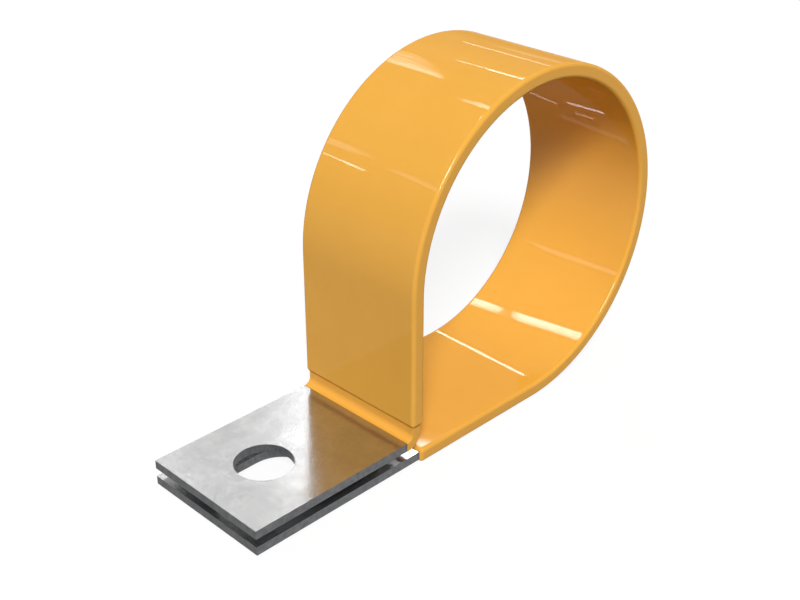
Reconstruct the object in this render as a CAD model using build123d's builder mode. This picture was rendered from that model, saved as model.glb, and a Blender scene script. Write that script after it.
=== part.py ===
from build123d import *
import os

# A loop clamp for one tube: a flat steel strap bent round into an open loop, with two parallel
# tabs that one bolt draws together, and a vinyl coating moulded round the loop.
# Millimetres. The origin is on the tube's axis, in the middle of the strap's width. Y runs along
# the tube, Z is up and the tabs reach out towards -X. The clamp rests on its coated flat base.

# The tube and the strap
tube_diameter = 56.7
strap_width = 25.4
strap_thickness = 1.54

# The tabs. The gap is the open one, before the bolt draws the upper tab down
tab_gap = 1.47
tab_length = 33.3
bend_radius = 1.3

# A close round hole in the upper tab and a roomy slot under it in the lower one
bolt_hole_diameter = 9.9
slot_width = 11.4
slot_travel = 6.0
hole_to_tab_end = 12.1

# The vinyl: a thick sleeve with rounded edges, and the thin film that it leaves round the bend
coat_thickness = 0.52
coat_edge_radius = 0.67
step_above_bend = 1.25
film_thickness = 0.1

# Faces of the strip round the loop, by their distance from the tube's axis
bore_radius = tube_diameter / 2
strap_inner = bore_radius + coat_thickness
strap_outer = strap_inner + strap_thickness
coat_outer = strap_outer + coat_thickness

# The lower tab carries straight on from the base, and the upper one lies over it
lower_tab_top = -strap_inner
upper_tab_top = lower_tab_top + tab_gap + strap_thickness
tab_end = -strap_outer - tab_length
hole_x = tab_end + hole_to_tab_end

# Centre of the bend between the riser and the upper tab
bend_x = -strap_outer - bend_radius
bend_z = upper_tab_top + bend_radius

# The sleeve starts on the base, under the riser's bare inner face, and ends above the bend
sleeve_foot = -strap_inner
sleeve_step = bend_z + step_above_bend
sleeve_round = min(coat_edge_radius, 0.45 * (coat_outer - bore_radius))

# The film comes out from inside the sleeve's end and stops where the bend turns flat
film_inner = strap_inner - film_thickness
film_outer = strap_outer + film_thickness
film_top = upper_tab_top + film_thickness
film_under = upper_tab_top - strap_thickness - film_thickness
film_root = sleeve_step + coat_edge_radius + strap_thickness


def loop_face(radius, foot, head):
    """One face of the strip seen along the tube: flat base, three quarters of a turn, riser."""
    Line((foot, -radius), (0, -radius))
    CenterArc((0, 0), radius, -90, 270)
    Line((-radius, 0), (-radius, head))


def bend_face(radius):
    """The same face further on, where it turns out of the riser into the upper tab."""
    CenterArc((bend_x, bend_z), -bend_x - radius, 0, -90)


def strap_side_view():
    """The whole bent strip seen along the tube, with square ends one over the other."""
    for radius, height in ((strap_inner, upper_tab_top - strap_thickness), (strap_outer, upper_tab_top)):
        loop_face(radius, tab_end, bend_z)
        bend_face(radius)
        Line((bend_x, height), (tab_end, height))
    Line((tab_end, -strap_outer), (tab_end, lower_tab_top))
    Line((tab_end, upper_tab_top - strap_thickness), (tab_end, upper_tab_top))


# Steel strap: one strip, bent flat side down, with its two holes over each other
with BuildPart() as steel_strap:
    with BuildSketch(Plane.XZ):
        with BuildLine():
            strap_side_view()
        make_face()
    extrude(amount=strap_width / 2, both=True)

    with BuildSketch(Plane.XY.offset(upper_tab_top)):
        with Locations((hole_x, 0)):
            Circle(bolt_hole_diameter / 2)
    extrude(amount=-strap_thickness, mode=Mode.SUBTRACT)

    with BuildSketch(Plane.XY.offset(lower_tab_top)):
        with Locations((hole_x, 0)):
            SlotCenterToCenter(slot_travel, slot_width)
    extrude(amount=-strap_thickness, mode=Mode.SUBTRACT)

# Film: the thin skin that follows the strip round the bend, still solid inside
with BuildPart() as film:
    with BuildSketch(Plane.XZ):
        with BuildLine():
            for radius in (film_inner, film_outer):
                Line((-radius, film_root), (-radius, bend_z))
                bend_face(radius)
            Line((-film_inner, film_root), (-film_outer, film_root))
            Line((bend_x, film_under), (bend_x, film_top))
        make_face()
    extrude(amount=strap_width / 2 + film_thickness, both=True)

# Vinyl coating: the sleeve, rounded on every edge, joined to its film and hollowed by the strap
with BuildPart() as vinyl_coating:
    with BuildSketch(Plane.XZ):
        with BuildLine():
            for radius in (bore_radius, coat_outer):
                loop_face(radius, sleeve_foot, sleeve_step)
            Line((sleeve_foot, -bore_radius), (sleeve_foot, -coat_outer))
            Line((-bore_radius, sleeve_step), (-coat_outer, sleeve_step))
        make_face()
    extrude(amount=strap_width / 2 + coat_thickness, both=True)
    sleeve_sides = vinyl_coating.faces().filter_by(Axis.Y)
    sleeve_ends = vinyl_coating.faces().sort_by(SortBy.AREA)[:2]
    fillet(sleeve_sides.edges() + sleeve_ends.edges().filter_by(Axis.Y), sleeve_round)
    add(film.part)

    with BuildSketch(Plane.XZ):
        with BuildLine():
            strap_side_view()
        make_face()
    extrude(amount=strap_width / 2, both=True, mode=Mode.SUBTRACT)

steel_strap.part.label = "steel_strap"
vinyl_coating.part.label = "vinyl_coating"

os.makedirs("parts", exist_ok=True)
export_step(steel_strap.part, "parts/steel_strap.step")
export_step(vinyl_coating.part, "parts/vinyl_coating.step")
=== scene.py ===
# %% [markdown]
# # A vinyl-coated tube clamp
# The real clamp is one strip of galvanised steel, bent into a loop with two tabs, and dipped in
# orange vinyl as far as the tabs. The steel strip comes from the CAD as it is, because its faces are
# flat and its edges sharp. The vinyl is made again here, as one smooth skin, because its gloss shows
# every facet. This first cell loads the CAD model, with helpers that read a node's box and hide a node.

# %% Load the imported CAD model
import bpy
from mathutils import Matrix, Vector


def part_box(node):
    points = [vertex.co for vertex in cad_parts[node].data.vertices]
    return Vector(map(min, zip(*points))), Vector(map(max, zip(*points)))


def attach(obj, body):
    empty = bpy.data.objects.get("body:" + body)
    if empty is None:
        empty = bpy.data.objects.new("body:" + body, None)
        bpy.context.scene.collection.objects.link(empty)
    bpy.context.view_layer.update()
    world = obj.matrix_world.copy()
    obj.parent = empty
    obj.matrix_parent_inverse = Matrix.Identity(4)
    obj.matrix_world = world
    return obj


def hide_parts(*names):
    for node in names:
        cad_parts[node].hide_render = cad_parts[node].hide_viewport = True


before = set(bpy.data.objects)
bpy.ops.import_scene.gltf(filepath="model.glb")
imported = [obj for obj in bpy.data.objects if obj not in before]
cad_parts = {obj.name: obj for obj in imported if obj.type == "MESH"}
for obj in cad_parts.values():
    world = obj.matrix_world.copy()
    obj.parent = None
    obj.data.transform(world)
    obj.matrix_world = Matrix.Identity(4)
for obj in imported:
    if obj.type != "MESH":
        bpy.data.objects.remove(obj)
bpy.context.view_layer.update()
print("nodes:", sorted(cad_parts))

# %% [markdown]
# ## Modules and the colour view
# numpy works out the shapes, mathutils gives vectors and matrices, and bpy is Blender itself. Of
# Blender's colour views, Standard shows a colour as it is written. The default one softens bright
# colours, and the orange would look pale and grey.

# %% Modules and the colour view
import math

import bpy
import numpy as np
from mathutils import Matrix, Vector

scene = bpy.context.scene
scene.view_settings.view_transform = "Standard"
print("colour view:", scene.view_settings.view_transform)

# %% [markdown]
# ## Sizes
# Blender works in metres here. What the CAD can tell is read from the boxes of its two nodes: the
# loop's radii, the strip's width and the coating's thickness. The rest are the sizes that the clamp
# was designed with, written in millimetres and turned into metres once.

# %% Sizes of the strip and its coating
MM = 0.001
strap_low, strap_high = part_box("steel_strap")
coat_low, coat_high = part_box("vinyl_coating")

STRIP_THICK = 1.54 * MM
STRIP_HALF_WIDTH = strap_high.y
OUTER_FACE = strap_high.z
MID_LINE = OUTER_FACE - STRIP_THICK / 2
COAT = coat_high.z - strap_high.z
EDGE_ROUND = 0.67 * MM
print(f"strip {2 * STRIP_HALF_WIDTH / MM:.1f} mm wide, coat {COAT / MM:.2f} mm")

# %% Sizes of the bend and the tabs
TAB_GAP = 1.47 * MM
BEND_RADIUS = 1.3 * MM
STEP_ABOVE_BEND = 1.25 * MM
TAB_TOP = strap_low.z + 2 * STRIP_THICK + TAB_GAP
BEND_X = -OUTER_FACE - BEND_RADIUS
BEND_Z = TAB_TOP + BEND_RADIUS
BEND_MID = BEND_RADIUS + STRIP_THICK / 2
FLOOR_Z = coat_low.z
print(f"tab top {TAB_TOP / MM:.2f} mm, floor {FLOOR_Z / MM:.2f} mm")

# %% [markdown]
# ## The camera
# The photograph looks down on the clamp from its tab side, with a short telephoto lens. The angles,
# the place and the lens were fitted to the edges of the clamp. A camera looks along its own -Z, so
# its +Z is the direction back from the clamp, and the other two axes follow by cross products. A
# tracking constraint could aim it too, but it leaves no room for the small roll.

# %% The camera's place and angles
AZIMUTH, ELEVATION, ROLL = math.radians(-45.054), math.radians(28.404), math.radians(0.080)
CAMERA_PLACE = (-0.15323, -0.13223, 0.09318)
LENS = 56.63

back = Vector((
    math.sin(AZIMUTH) * math.cos(ELEVATION),
    -math.cos(AZIMUTH) * math.cos(ELEVATION),
    math.sin(ELEVATION),
))
right = Vector((0, 0, 1)).cross(back).normalized()
up = back.cross(right)
camera_x = right * math.cos(ROLL) + up * math.sin(ROLL)
camera_y = up * math.cos(ROLL) - right * math.sin(ROLL)
turn = Matrix((camera_x, camera_y, back)).transposed()
print("camera looks along", [round(v, 3) for v in -back])

# %% The camera itself
camera_data = bpy.data.cameras.new("camera")
camera_data.lens = LENS
camera_data.sensor_width = 36
camera_data.clip_start = 0.01
camera = bpy.data.objects.new("camera", camera_data)
camera.matrix_world = Matrix.Translation(CAMERA_PLACE) @ turn.to_4x4()
scene.collection.objects.link(camera)
scene.camera = camera
print("camera at", CAMERA_PLACE, "lens", LENS)

# %% [markdown]
# ## The path of the strip
# Seen along the tube, the strip is a line of constant thickness: along the flat base, three quarters
# of a turn round the tube, down the riser, and round a tight bend to the upper tab. A curve with a
# bevel could follow it, but would twist and pinch at the tight bend. So one function turns a distance
# along the line into a point and an outward direction. Every section of the coating is placed with
# it, and the skin follows the steel by construction.

# %% Distances along the strip, from the coating's foot
SLEEVE_FOOT = -(OUTER_FACE - STRIP_THICK)
ARC_START = -SLEEVE_FOOT
RISER_START = ARC_START + 1.5 * math.pi * MID_LINE
BEND_START = RISER_START - BEND_Z
SLEEVE_HEAD = BEND_START - STEP_ABOVE_BEND
FILM_END = BEND_START + 0.5 * math.pi * BEND_MID
print(f"sleeve from 0 to {SLEEVE_HEAD / MM:.1f} mm, film to {FILM_END / MM:.1f} mm along the strip")


# %% A point and a direction at each distance
def strip_line(s):
    """Points P and outward unit vectors N in the XZ plane, at distances s from the coating's foot.

    Base:  P = (foot + s, -R),  N = (0, -1).
    Loop:  P = R (cos a, sin a), N = (cos a, sin a), with a = (s - start) / R - 90 degrees.
    Riser: P = (-R, -(s - start)), N = (-1, 0).
    Bend:  P = centre + b (cos a, sin a), N = -(cos a, sin a), with a = -(s - start) / b.
    """
    s = np.asarray(s, float)
    loop = np.clip((s - ARC_START) / MID_LINE, 0, 1.5 * math.pi) - 0.5 * math.pi
    bend = -np.clip((s - BEND_START) / BEND_MID, 0, 0.5 * math.pi)
    x = np.select(
        [s <= ARC_START, s <= RISER_START, s <= BEND_START],
        [SLEEVE_FOOT + s, MID_LINE * np.cos(loop), -MID_LINE + 0 * s],
        BEND_X + BEND_MID * np.cos(bend),
    )
    z = np.select(
        [s <= ARC_START, s <= RISER_START, s <= BEND_START],
        [-MID_LINE + 0 * s, MID_LINE * np.sin(loop), -(s - RISER_START)],
        BEND_Z + BEND_MID * np.sin(bend),
    )
    nx = np.where(s <= BEND_START, np.cos(loop), -np.cos(bend))
    nz = np.where(s <= BEND_START, np.sin(loop), -np.sin(bend))
    return np.stack([x, z], 1), np.stack([nx, nz], 1)


crown, crown_outward = strip_line([ARC_START + math.pi * MID_LINE])
print("top of the loop:", crown.round(4), "faces", crown_outward.round(2))

# %% [markdown]
# ## The section of the coating
# Cut across, the coating's outside is a rectangle with round corners, and its inside is the sharp
# rectangle of the steel. Both are written as one loop of the same number of points, so that a grid
# can run from one to the other. A Bevel modifier could round the corners, but not by an amount that
# fades to nothing at the sleeve's ends. Smooth shading blends the directions of neighbouring faces,
# so each flat side gets one more point close to either corner: without it, the lines in the gloss
# would bend near the edges.

# %% A rectangle with round corners, as a loop of points
CORNER_STEPS = 10
THICK_STEPS = 3
WIDE_STEPS = 10
GUARD = 0.03 * MM


def section(half_thick, half_wide, radius):
    """The loop (h, w): four quarter circles of the radius, joined by straight sides.

    Each corner: (h, w) = corner centre + radius (cos a, sin a), for a over its quarter turn.
    Each side: its ends left out, and a point at the guard distance from either end.
    """
    quarter = np.linspace(0, 0.5 * math.pi, CORNER_STEPS + 1)
    corners = []
    for k, (sign_h, sign_w) in enumerate(((1, 1), (-1, 1), (-1, -1), (1, -1))):
        a = quarter + 0.5 * math.pi * k
        corners.append(np.stack([
            sign_h * (half_thick - radius) + radius * np.cos(a),
            sign_w * (half_wide - radius) + radius * np.sin(a),
        ], 1))
    rows = []
    for k, corner in enumerate(corners):
        following = corners[(k + 1) % 4][0]
        steps = THICK_STEPS if k % 2 == 0 else WIDE_STEPS
        close = GUARD / np.hypot(*(following - corner[-1]))
        t = np.concatenate([[close], np.linspace(0, 1, steps + 1)[1:-1], [1 - close]])[:, None]
        rows += [corner, corner[-1] * (1 - t) + following * t]
    return np.concatenate(rows)


print("points in each section:", len(section(1 * MM, 2 * MM, 0.1 * MM)))

# %% [markdown]
# ## The stations of the skin
# The sleeve is thick, and its ends are rounded like its edges. Past its upper end only a thin film
# goes on round the bend, and the vinyl runs out into that film in a short hollow curve, as a dipped
# liquid does. Cutting and filleting solids would need a boolean with slivers there. A list of
# stations is simpler and exact: how far along the strip, how thick, and how round.

# %% The two rounded ends of the sleeve
FILM = 0.1 * MM
FILM_ROUND = 0.12 * MM
FOOT_THIN = 0.01 * MM
RUN_OUT = 0.32 * MM
RUN_OUT_HEIGHT = 0.18 * MM


def rounded_end(plane, direction, thin_to, steps):
    """Distances, cover thicknesses and edge radii round a sleeve's end, in from its plane.

    With g the angle: distance = plane + direction * r (1 - sin g), cover = COAT - r (1 - cos g),
    edge radius = r cos g.
    """
    last = math.acos(1 - (COAT - thin_to) / EDGE_ROUND)
    g = np.linspace(last, 0, steps)
    cover = COAT - EDGE_ROUND * (1 - np.cos(g))
    return plane + direction * EDGE_ROUND * (1 - np.sin(g)), cover, EDGE_ROUND * np.cos(g)


foot = rounded_end(0, 1, FOOT_THIN, 12)
head = [part[::-1] for part in rounded_end(SLEEVE_HEAD, -1, FILM + RUN_OUT_HEIGHT, 10)]
print(f"rounded ends: {foot[0][-1] / MM:.2f} and {(SLEEVE_HEAD - head[0][0]) / MM:.2f} mm long")

# %% The run-out and the film, where fade falls from 1 to 0 as the square of the distance
along_run_out = np.linspace(0, 1, 7)[1:]
fade = (1 - along_run_out) ** 2
run_out = (
    head[0][-1] + RUN_OUT * along_run_out,
    FILM + RUN_OUT_HEIGHT * fade,
    FILM_ROUND + (head[2][-1] - FILM_ROUND) * fade,
)
film = np.concatenate([
    np.linspace(run_out[0][-1], BEND_START, 5)[1:],
    np.linspace(BEND_START, FILM_END, 25)[1:],
])
print(f"run-out {RUN_OUT / MM:.2f} mm, film {(film[-1] - film[0]) / MM:.2f} mm long")


# %% All stations, from the foot to the film's end
def guarded(start, end, steps):
    """The distances between two ends, in equal steps, with one more close to either end."""
    return np.concatenate([[start + GUARD], np.linspace(start, end, steps + 1)[1:-1], [end - GUARD]])


plain = np.concatenate([
    guarded(foot[0][-1], ARC_START, 10),
    np.linspace(ARC_START, RISER_START, 217),
    guarded(RISER_START, head[0][0], 8),
])
stations = np.concatenate([foot[0], plain, head[0], run_out[0], film])
cover = np.concatenate([foot[1], COAT + 0 * plain, head[1], run_out[1], FILM + 0 * film])
rounding = np.concatenate([foot[2], EDGE_ROUND + 0 * plain, head[2], run_out[2], FILM_ROUND + 0 * film])
print("stations on the outside:", len(stations))


# %% [markdown]
# ## From stations to a mesh
# Each station puts its section square to the path: the thickness goes along the outward direction,
# the width along the tube. The whole grid is worked out at once with numpy and put into the mesh in
# one call, which is far quicker than adding points one by one. Smooth shading hides the steps, and
# only edges past a set angle stay sharp, such as the film's end.

# %% Grid helpers
def placed(s, sections):
    """Points P(s) + h N(s) across the strip and w along the tube, for every section point (h, w)."""
    centre, outward = strip_line(s)
    across = centre[:, None, :] + sections[:, :, :1] * outward[:, None, :]
    return np.stack([across[..., 0], sections[..., 1], across[..., 1]], 2)


def closed_grid(points):
    """Faces of a grid that closes both ways: (i, j), (i, j+1), (i+1, j+1), (i+1, j)."""
    rows, columns = points.shape[:2]
    index = np.arange(rows * columns).reshape(rows, columns)
    down, over = np.roll(index, -1, 0), np.roll(index, -1, 1)
    return np.stack([index, over, np.roll(down, -1, 1), down], 2).reshape(-1, 4)


print("a grid of 4 by 5 points has", len(closed_grid(np.zeros((4, 5, 3)))), "faces")


# %% A mesh from points and quads
def outward_quads(points, quads):
    """The quads, turned round if the volume that they enclose comes out negative.

    Volume times 6 = sum over both triangles of each quad of ((b - a) x (c - a)) . a.
    """
    a, b, c, d = (points[quads[:, k]] for k in range(4))
    volume = ((np.cross(b - a, c - a) * a).sum() + (np.cross(c - a, d - a) * a).sum()) / 6
    return (quads[:, ::-1] if volume < 0 else quads), abs(volume)


def mesh_piece(name, points, quads, sharp_from):
    """Puts points and quads into a new object's mesh with foreach_set."""
    quads, volume = outward_quads(points, quads)
    mesh = bpy.data.meshes.new(name)
    mesh.vertices.add(len(points))
    mesh.vertices.foreach_set("co", points.astype(np.float32).ravel())
    mesh.loops.add(quads.size)
    mesh.loops.foreach_set("vertex_index", quads.astype(np.int32).ravel())
    mesh.polygons.add(len(quads))
    mesh.polygons.foreach_set("loop_start", np.arange(0, quads.size, 4, dtype=np.int32))
    mesh.update(calc_edges=True)
    mesh.validate()
    mesh.shade_smooth()
    mesh.set_sharp_from_angle(angle=math.radians(sharp_from))
    piece = bpy.data.objects.new(name, mesh)
    scene.collection.objects.link(piece)
    print(f"{name}: {len(points)} points, {len(quads)} faces, volume {volume / MM ** 3:.0f} mm3")
    return piece


# %% [markdown]
# ## The coating as one closed skin
# The real coating is a liquid that set round the strip, so it has one skin outside and one against
# the steel. Going along the outside and back along the steel makes a tube with a wall and no open
# edge. The CAD solid has the same form, but its facets show in the gloss, so this piece stands for it.

# %% The coating
SHARP_FROM = 40
STEEL_CORNER = 0.002 * MM

outside = np.stack([
    section(STRIP_THICK / 2 + c, STRIP_HALF_WIDTH + c, r) for c, r in zip(cover, rounding)
])
inner_stations = np.concatenate([[stations[0]], np.linspace(ARC_START, FILM_END, 220)])[::-1]
steel_section = section(STRIP_THICK / 2, STRIP_HALF_WIDTH, STEEL_CORNER)
inside = np.repeat(steel_section[None], len(inner_stations), 0)
skin = np.concatenate([placed(stations, outside), placed(inner_stations, inside)])

coating = mesh_piece("vinyl_skin", skin.reshape(-1, 3), closed_grid(skin), SHARP_FROM)
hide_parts("vinyl_coating")
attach(coating, "root")

# %% [markdown]
# ## Node helpers
# Materials are graphs of nodes. They could be built by hand in the shader editor, but a script is
# repeatable and shows every value. A few short helpers keep the cells readable: one adds a node and
# sets its values, one feeds a socket from a number or another socket, and three more make the
# nodes that come again and again.

# %% Helpers for any shader tree
def add(tree, kind, **values):
    """Adds a node. Values that are inputs go to the socket of that name, the others to the node."""
    node = tree.nodes.new(kind)
    for name, value in values.items():
        socket = next((s for s in node.inputs if s.name.replace(" ", "_") == name), None)
        if socket is not None:
            socket.default_value = value
        else:
            setattr(node, name, value)
    return node


def feed(tree, socket, value):
    """Feeds a socket: from another node's output if value is one, or else with value itself."""
    if isinstance(value, bpy.types.NodeSocket):
        tree.links.new(value, socket)
    else:
        socket.default_value = value


# %% Helpers for sums, mixes and ranges
MIX_SOCKETS = {"FLOAT": (2, 3, 0), "RGBA": (6, 7, 2)}


def work(tree, operation, *values):
    """A Math node's result."""
    node = add(tree, "ShaderNodeMath", operation=operation)
    for socket, value in zip(node.inputs, values):
        feed(tree, socket, value)
    return node.outputs[0]


def mix(tree, share, first, second, kind="FLOAT"):
    """A Mix node's result: first * (1 - share) + second * share, of numbers or colours."""
    node = add(tree, "ShaderNodeMix", data_type=kind)
    a, b, result = MIX_SOCKETS[kind]
    feed(tree, node.inputs["Factor"], share)
    feed(tree, node.inputs[a], first)
    feed(tree, node.inputs[b], second)
    return node.outputs[result]


def mapped(tree, value, start, end, to_start, to_end):
    """A Map Range node's result: start to end becomes to_start to to_end, and stops there."""
    node = add(tree, "ShaderNodeMapRange", From_Min=start, From_Max=end, To_Min=to_start, To_Max=to_end)
    feed(tree, node.inputs["Value"], value)
    return node.outputs["Result"]


print("helpers:", [f.__name__ for f in (add, feed, work, mix, mapped)])

# %% [markdown]
# ## Clouds, a shared effect
# Neither finish is even: zinc sets in soft clouds, and dipped vinyl is a little thicker here and
# thinner there. An image could show that, but it would repeat and stretch. Two noises of different
# size added up make it at any scale. They live in one group, and each material places the group with
# its own size and its own share of the fine noise.

# %% Helpers for groups
def new_group(name, inputs, outputs):
    """A shader group whose sockets are made with interface.new_socket, and its two end nodes."""
    tree = bpy.data.node_groups.new(name, "ShaderNodeTree")
    for label, kind, value in inputs:
        made = tree.interface.new_socket(label, in_out="INPUT", socket_type=kind)
        if value is not None:
            made.default_value = value
    for label, kind in outputs:
        tree.interface.new_socket(label, in_out="OUTPUT", socket_type=kind)
    return tree, tree.nodes.new("NodeGroupInput"), tree.nodes.new("NodeGroupOutput")


def place_group(tree, group, **values):
    """Places a group in a tree, and feeds its inputs by name."""
    node = tree.nodes.new("ShaderNodeGroup")
    node.node_tree = group
    for name, value in values.items():
        feed(tree, node.inputs[name.replace("_", " ")], value)
    return node


# %% Group: soft clouds
FINE_TIMES = 6.0


def noise(tree, position, scale, **values):
    """A Noise Texture's value at a position."""
    node = add(tree, "ShaderNodeTexNoise", **values)
    feed(tree, node.inputs["Vector"], position)
    feed(tree, node.inputs["Scale"], scale)
    return node.outputs["Fac"]


clouds, entry, leave = new_group(
    "soft clouds",
    [
        ("Position", "NodeSocketVector", None),
        ("Size mm", "NodeSocketFloat", 4.0),
        ("Fine share", "NodeSocketFloat", 0.35),
    ],
    [("Value", "NodeSocketFloat"), ("Fine", "NodeSocketFloat")],
)
position = entry.outputs["Position"]
per_metre = work(clouds, "DIVIDE", 1 / MM, entry.outputs["Size mm"])
fine_scale = work(clouds, "MULTIPLY", per_metre, FINE_TIMES)
broad = noise(clouds, position, per_metre, Detail=3.0, Roughness=0.55, Distortion=0.4)
fine = noise(clouds, position, fine_scale, Detail=4.0, Roughness=0.6)
feed(clouds, leave.inputs["Value"], mix(clouds, entry.outputs["Fine share"], broad, fine))
feed(clouds, leave.inputs["Fine"], fine)
print("group:", clouds.name, "with", len(clouds.nodes), "nodes")

# %% [markdown]
# ## Orange vinyl: colour
# Dip-moulded vinyl is a dense, saturated plastic with a clear gloss: lamps show in it as thin sharp
# lines. A Principled shader with a low roughness does this, and the colour and the roughness shift a
# little with the thickness of the dip. A bump would break the lines up, and the real skin set
# smooth, so there is none.

# %% Helpers for materials
def new_material(name):
    """A material with one Principled shader, its tree, the shader, and the Object coordinates."""
    material = bpy.data.materials.new(name)
    material.use_nodes = True
    tree = material.node_tree
    tree.nodes.clear()
    output = add(tree, "ShaderNodeOutputMaterial")
    shader = add(tree, "ShaderNodeBsdfPrincipled")
    feed(tree, output.inputs["Surface"], shader.outputs[0])
    return material, tree, shader, add(tree, "ShaderNodeTexCoord").outputs["Object"]


def ramp(tree, value, stops):
    """A colour ramp fed by a value: stops are (place, colour), from the lowest place up."""
    node = add(tree, "ShaderNodeValToRGB")
    node.color_ramp.elements[0].position, node.color_ramp.elements[0].color = stops[0]
    node.color_ramp.elements[-1].position, node.color_ramp.elements[-1].color = stops[-1]
    for position, colour in stops[1:-1]:
        node.color_ramp.elements.new(position).color = colour
    feed(tree, node.inputs[0], value)
    return node.outputs["Color"]


# %% Material: vinyl, its colour and roughness
THIN_DIP = (0.87, 0.43, 0.058, 1)
THICK_DIP = (0.85, 0.416, 0.053, 1)

vinyl, tree, shader, place = new_material("orange dipped vinyl")
dip = place_group(tree, clouds, Position=place, Size_mm=9.0, Fine_share=0.25)
orange = ramp(tree, dip.outputs["Value"], [(0.35, THIN_DIP), (0.65, THICK_DIP)])
feed(tree, shader.inputs["Base Color"], orange)
feed(tree, shader.inputs["Roughness"], mapped(tree, dip.outputs["Fine"], 0.3, 0.7, 0.024, 0.034))
coating.data.materials.append(vinyl)
print("material:", vinyl.name)

# %% [markdown]
# ## Orange vinyl: gloss
# The index of refraction sets how strong the mirror image in the vinyl is. At a fixed 1.5 the skin
# would turn white where it is seen at a slant, which the real one doesn't. So the index falls, from
# 1.31 where the skin is seen face on to nearly 1 at a slant, where there is then no mirror image. It
# also falls on faces that look down, where the white floor would show too strongly inside the loop.

# %% Material: vinyl, its gloss
facing = add(tree, "ShaderNodeLayerWeight", Blend=0.5).outputs["Facing"]
above_one = mapped(tree, facing, 0.25, 0.84, 0.31, 0.012)

axes = add(tree, "ShaderNodeSeparateXYZ")
feed(tree, axes.inputs[0], add(tree, "ShaderNodeNewGeometry").outputs["True Normal"])
looking_down = mapped(tree, axes.outputs["Z"], -0.05, -0.35, 1.0, 0.55)
feed(tree, shader.inputs["IOR"], work(tree, "MULTIPLY_ADD", above_one, looking_down, 1.0))
print("nodes in the vinyl:", len(tree.nodes))

# %% [markdown]
# ## Galvanised steel: colours
# The flat faces are rolled and zinc-plated: bright, satin, softly clouded. The edges and the walls
# of the holes were sheared and punched, which leaves them duller, and on top of that their colour is
# a painted shade, far darker than zinc, for the dark surroundings that these upright faces mirror.
# The square ends of the tabs are painted darker still, a painted shade by the way they face. The strip
# is one mesh, so the faces could be given two materials, but the CAD's mesh stays as it is. So the node
# tree tells them apart by the direction that a face looks in: on the tabs, a face that looks up or
# down is a rolled one.

# %% Material: steel, its two colours
ROLLED = (
    (0.34, (0.465, 0.465, 0.47, 1)),
    (0.50, (0.515, 0.515, 0.515, 1)),
    (0.66, (0.58, 0.58, 0.575, 1)),
)
# The sheared colours are mostly a painted shade for the dark surroundings that upright faces mirror,
# over the duller zinc of real sheared edges.
SHEARED_SHADE = ((0.35, (0.11, 0.115, 0.12, 1)), (0.65, (0.17, 0.17, 0.175, 1)))

steel, tree, shader, place = new_material("galvanised steel")
zinc = place_group(tree, clouds, Position=place, Size_mm=5.0, Fine_share=0.5)
rolled = ramp(tree, zinc.outputs["Value"], ROLLED)
sheared_shade = ramp(tree, zinc.outputs["Fine"], SHEARED_SHADE)
print("material:", steel.name)

# %% Material: steel, which face is which
END_SHARE = 0.72

axes = add(tree, "ShaderNodeSeparateXYZ")
feed(tree, axes.inputs[0], add(tree, "ShaderNodeNewGeometry").outputs["True Normal"])
is_edge = work(tree, "LESS_THAN", work(tree, "ABSOLUTE", axes.outputs["Z"]), 0.5)
# Faces that look along X, the tabs' ends, are painted darker by END_SHARE: a painted shade by the way
# they face, over their sheared finish.
end_shade = mapped(tree, work(tree, "ABSOLUTE", axes.outputs["X"]), 0.0, 1.0, 1.0, END_SHARE)
cut_shade = add(tree, "ShaderNodeVectorMath", operation="SCALE")
feed(tree, cut_shade.inputs[0], sheared_shade)
feed(tree, cut_shade.inputs["Scale"], end_shade)
tone = mix(tree, is_edge, rolled, cut_shade.outputs[0], kind="RGBA")
print("nodes so far:", len(tree.nodes))

# %% [markdown]
# ## Galvanised steel: light and surface
# A metal sends the lamps' light on in patches, which would light up the riser. The photograph shows
# none there, so the steel is dark to diffuse rays. The rolled faces are satin, the sheared ones
# rough. Zinc doesn't set quite flat, so a shallow bump, a second placing of the same clouds, makes
# the edge of each reflection a little uneven. The CAD's mesh is left alone, so the surface detail
# is all in the material.

# %% Material: steel, its light and surface
DARK_TO_MATT = (0.12, 0.12, 0.12, 1)
EDGE_ROUGH = 0.5

matt_ray = add(tree, "ShaderNodeLightPath").outputs["Is Diffuse Ray"]
feed(tree, shader.inputs["Base Color"], mix(tree, matt_ray, tone, DARK_TO_MATT, kind="RGBA"))
satin = mapped(tree, zinc.outputs["Value"], 0.3, 0.7, 0.18, 0.205)
feed(tree, shader.inputs["Roughness"], mix(tree, is_edge, satin, EDGE_ROUGH))

swells = place_group(tree, clouds, Position=place, Size_mm=3.5, Fine_share=0.2)
dents = add(tree, "ShaderNodeBump", Strength=0.5, Distance=0.06 * MM)
feed(tree, dents.inputs["Height"], swells.outputs["Value"])
feed(tree, shader.inputs["Normal"], dents.outputs["Normal"])
shader.inputs["Metallic"].default_value = 0.97

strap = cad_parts["steel_strap"]
strap.data.materials.clear()
strap.data.materials.append(steel)
print("nodes in the steel:", len(tree.nodes))

# %% [markdown]
# ## The floor
# The clamp stands on a plain pale floor. A floor lit until it looks white would need strong lamps,
# and they would bleach the vinyl. So a share of its white is real light that it sends back, and takes
# the clamp's shadow, and the rest is a glow that only the camera and mirror images see.

# %% The floor's mesh
FLOOR_HALF = 6.0
corners = np.array([(-1, -1), (1, -1), (1, 1), (-1, 1)]) * FLOOR_HALF
floor_mesh = bpy.data.meshes.new("floor")
floor_mesh.from_pydata([(x, y, FLOOR_Z) for x, y in corners], [], [(0, 1, 2, 3)])
floor = bpy.data.objects.new("floor", floor_mesh)
scene.collection.objects.link(floor)
print("floor at", round(FLOOR_Z / MM, 2), "mm")

# %% Material: pale floor
FLOOR_SHARE = 0.17
LIT_LEVEL = 0.9

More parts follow.
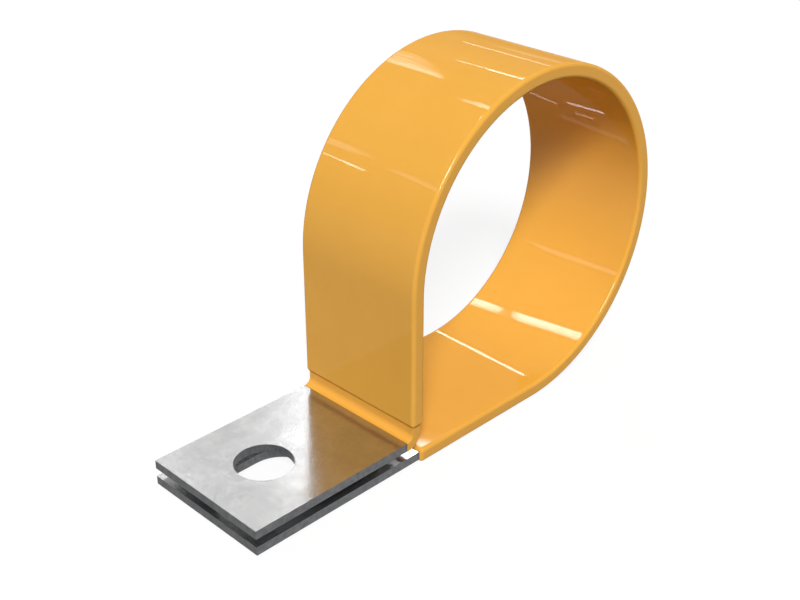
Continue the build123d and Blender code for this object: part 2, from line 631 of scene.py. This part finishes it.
paint = bpy.data.materials.new("pale floor")
paint.use_nodes = True
tree = paint.node_tree
tree.nodes.clear()
matt = add(tree, "ShaderNodeBsdfDiffuse", Color=(FLOOR_SHARE, FLOOR_SHARE, FLOOR_SHARE, 1))
glow = add(tree, "ShaderNodeEmission", Color=(1, 1, 1, 1))
path = add(tree, "ShaderNodeLightPath").outputs
seen = work(tree, "MAXIMUM", path["Is Camera Ray"], path["Is Glossy Ray"])
seen = work(tree, "MAXIMUM", seen, path["Is Transmission Ray"])
feed(tree, glow.inputs["Strength"], work(tree, "MULTIPLY", seen, 1.0 - LIT_LEVEL * FLOOR_SHARE))

total = add(tree, "ShaderNodeAddShader")
feed(tree, total.inputs[0], matt.outputs[0])
feed(tree, total.inputs[1], glow.outputs[0])
feed(tree, add(tree, "ShaderNodeOutputMaterial").inputs["Surface"], total.outputs[0])
floor_mesh.materials.append(paint)
print("glow of the floor:", round(1.0 - LIT_LEVEL * FLOOR_SHARE, 3))

# %% [markdown]
# ## The sky
# A studio sweep is white at the horizon and a little greyer above. An environment image would put
# its own shapes in the gloss, so this sky is one plain range over the height. To diffuse rays it
# gives only a share of that, because in the photograph the vinyl has clear shade on its far sides.

# %% World
SKY_ABOVE = 0.8
HORIZON_HEIGHT = 0.12
SKY_TO_MATT = 0.22

world = bpy.data.worlds.new("studio")
scene.world = world
world.use_nodes = True
tree = world.node_tree
tree.nodes.clear()
axes = add(tree, "ShaderNodeSeparateXYZ")
feed(tree, axes.inputs[0], add(tree, "ShaderNodeTexCoord").outputs["Generated"])
sky = mapped(tree, axes.outputs["Z"], 0.0, HORIZON_HEIGHT, 1.0, SKY_ABOVE)
matt_ray = add(tree, "ShaderNodeLightPath").outputs["Is Diffuse Ray"]
matt_share = mapped(tree, matt_ray, 0.0, 1.0, 1.0, SKY_TO_MATT)
background = add(tree, "ShaderNodeBackground", Color=(1, 1, 1, 1))
feed(tree, background.inputs["Strength"], work(tree, "MULTIPLY", sky, matt_share))
feed(tree, add(tree, "ShaderNodeOutputWorld").inputs["Surface"], background.outputs[0])
print("sky from 1.0 at the horizon to", SKY_ABOVE)

# %% [markdown]
# ## Studio lamps
# The lamps are rectangles that stand far off, so that every part of the clamp sees them in the same
# direction. That direction is given as the clamp's own shape sees it: lean is the angle from straight
# up towards +X, round the tube, and swing is the angle along the tube towards +Y. So a lamp that
# runs along the swing shows as a straight line across the strip. Placing lamps by eye would take
# many tries, but with lean and swing each line in the photograph's gloss gives its lamp directly.

# %% A lamp between two directions
LAMP_DISTANCE = 60.0


def direction(lean, swing):
    """The unit vector (cos swing sin lean, sin swing, cos swing cos lean), angles in degrees."""
    lean, swing = math.radians(lean), math.radians(swing)
    return Vector((math.cos(swing) * math.sin(lean), math.sin(swing), math.cos(swing) * math.cos(lean)))


def area_lamp(name, middle, along, away, length, width, radiance):
    """A rectangular lamp that shines against its away axis. Its power is pi * area * radiance."""
    data = bpy.data.lights.new(name, "AREA")
    data.shape = "RECTANGLE"
    data.size, data.size_y = length, width
    data.energy = math.pi * data.size * data.size_y * radiance
    lamp = bpy.data.objects.new(name, data)
    axes = Matrix((along, away.cross(along), away)).transposed()
    lamp.matrix_world = Matrix.Translation(middle) @ axes.to_4x4()
    scene.collection.objects.link(lamp)
    return lamp


def strip(name, start, end, width, radiance):
    """A lamp from one direction (lean, swing) to another, width degrees wide.

    Its length is 2 D tan(angle / 2), and so is its width, with D the lamps' distance.
    """
    first, last = direction(*start), direction(*end)
    middle, along = (first + last).normalized(), (last - first).normalized()
    length = 2 * LAMP_DISTANCE * math.tan(first.angle(last) / 2)
    breadth = 2 * LAMP_DISTANCE * math.tan(math.radians(width) / 2)
    return area_lamp(name, middle * LAMP_DISTANCE, along, middle, length, breadth, radiance)


print("lamps stand", LAMP_DISTANCE, "m off")

# %% [markdown]
# ## The key, its spark and the fill
# The key gives the even shading from the bright crown to the darker riser. It is wide, and its mirror
# image would be a hard white patch inside the loop, so the gloss doesn't see it. A thin strip in the
# same place, the spark, is seen by the gloss alone and draws the fine lines on the rounded edges. A
# weak wide lamp fills in the back of the loop.

# %% Key, spark and fill
key = strip("soft_key", (-36.0, -37.4), (-36.0, -24.4), 13.0, 60.0)
key.visible_glossy = False
spark = strip("key_spark", (-53.0, -30.0), (-29.0, -30.0), 8.0, 75.0)
spark.visible_diffuse = False
fill = strip("back_fill", (74.0, -12.0), (74.0, 20.0), 28.0, 2.0)
fill.visible_glossy = False
print("power in watts:", [round(lamp.data.energy) for lamp in (key, spark, fill)])

# %% [markdown]
# ## The long bright strips
# The back strip is the thin bright line on the crown and along the base. It widens towards its lower
# end, so it is made of three. The top panel is split in thin bars, as a lamp with tubes is, and shows
# inside the loop as a band with fine dark lines. One wide slanted lamp would be simpler, but its
# slanted ends would fill the dark gap in the middle of the band.

# %% Back strip, in three parts
back_strip = (
    ("back_strip_thin", (42.6, 39.8), (43.2, 38.6), 0.7, 12.0),
    ("back_strip", (43.0, 38.5), (43.5, 36.6), 1.2, 17.0),
    ("back_strip_low", (44.1, 36.6), (46.4, 31.8), 1.6, 23.0),
)
for row in back_strip:
    strip(*row)
print("back strip:", len(back_strip), "parts")

# %% Top panel, in thin bars with a gap, and its tip
BAR_WIDTH = 0.46
bars = ((-2.6, 25.0), (-1.6, 27.0), (-0.3, 27.0), (0.7, 25.0), (1.9, 15.0), (2.8, 13.0))
for k, (offset, radiance) in enumerate(bars):
    strip(f"top_bar_{k}", (5.3 + offset, 36.2), (1.2 + offset, 34.15), BAR_WIDTH, radiance)
    strip(f"top_bar_low_{k}", (0.2 + offset, 33.4), (-6.7 + offset, 29.8), BAR_WIDTH, radiance)
strip("top_tip_thin", (10.2, 39.1), (10.2, 38.5), 1.6, 9.0)
strip("top_tip", (10.7, 38.5), (10.8, 37.0), 2.5, 12.0)
print("bars in the top panel:", 2 * len(bars))

# %% [markdown]
# ## The faint panels
# The rest are dim reflections of the studio: a panel that lifts the grey of the tab, a fan to the
# right of the crown, two thin lines over it, and one long slanted band to the left, which shows in
# three places. They could be left out, but without them the vinyl looks like painted card.

# %% Faint panels
faint = (
    ("tab_panel", (43.5, 44.5), (43.5, 38.5), 9.0, 0.22),
    ("fan_0", (22.8, 40.3), (23.0, 42.9), 1.8, 8.5),
    ("fan_1", (24.4, 40.5), (25.3, 42.9), 1.9, 6.5),
    ("fan_2", (26.2, 41.0), (28.8, 42.9), 2.0, 4.4),
    ("fan_3", (28.6, 41.5), (32.4, 42.9), 2.4, 2.8),
    ("fan_4", (31.4, 42.0), (35.8, 42.9), 2.6, 2.6),
    ("crown_line", (68.4, 39.8), (69.0, 35.4), 1.3, 5.5),
    ("crown_haze", (77.0, 38.0), (81.5, 34.8), 2.4, 1.4),
    ("left_line", (-55.9, 45.0), (-56.6, 43.4), 0.8, 9.0),
    ("left_line_low", (-56.6, 43.4), (-57.1, 42.3), 0.9, 17.0),
    ("left_band_top", (-47.6, 45.5), (-47.0, 42.9), 2.9, 3.0),
    ("left_band_tip", (-47.1, 42.9), (-46.9, 42.3), 1.4, 2.0),
    ("left_band", (-50.0, 40.9), (-52.6, 38.0), 1.6, 2.2),
    ("left_band_low", (-55.6, 33.7), (-59.0, 29.0), 2.2, 3.0),
)
for row in faint:
    strip(*row)
print("faint panels:", len(faint))

# %% [markdown]
# ## Low strips behind the clamp
# The inside of the crown looks down, and shows thin lines of lamps that stand low behind the clamp.
# Lamps far off in those directions would be under the floor. So these lie on the floor and shine
# upwards, which puts them in the same directions.

# %% Lamps that lie on the floor
ABOVE_FLOOR = 0.5 * MM


def floor_strip(name, start, end, width, radiance):
    """A lamp on the floor from one point (x, y) to another, in millimetres, shining upwards."""
    first, last = (Vector((x * MM, y * MM, FLOOR_Z + ABOVE_FLOOR)) for x, y in (start, end))
    along, down = (last - first).normalized(), Vector((0, 0, -1))
    return area_lamp(name, (first + last) / 2, along, down, (last - first).length, width * MM, radiance)


low_lines = (
    ("low_line_far", (23.0, 44.2), (20.3, 35.7), 1.2, 9.0),
    ("low_line", (23.8, 33.1), (24.4, 22.8), 1.4, 22.0),
    ("low_line_short", (17.9, 30.4), (17.8, 25.1), 1.2, 9.0),
    ("low_line_faint", (13.2, 34.3), (10.0, 16.1), 2.6, 2.0),
)
for row in low_lines:
    floor_strip(*row)
lamps = [item.name for item in scene.objects if item.type == "LIGHT"]
print(len(lamps), "lamps, power in watts:", round(sum(bpy.data.lights[name].energy for name in lamps)))
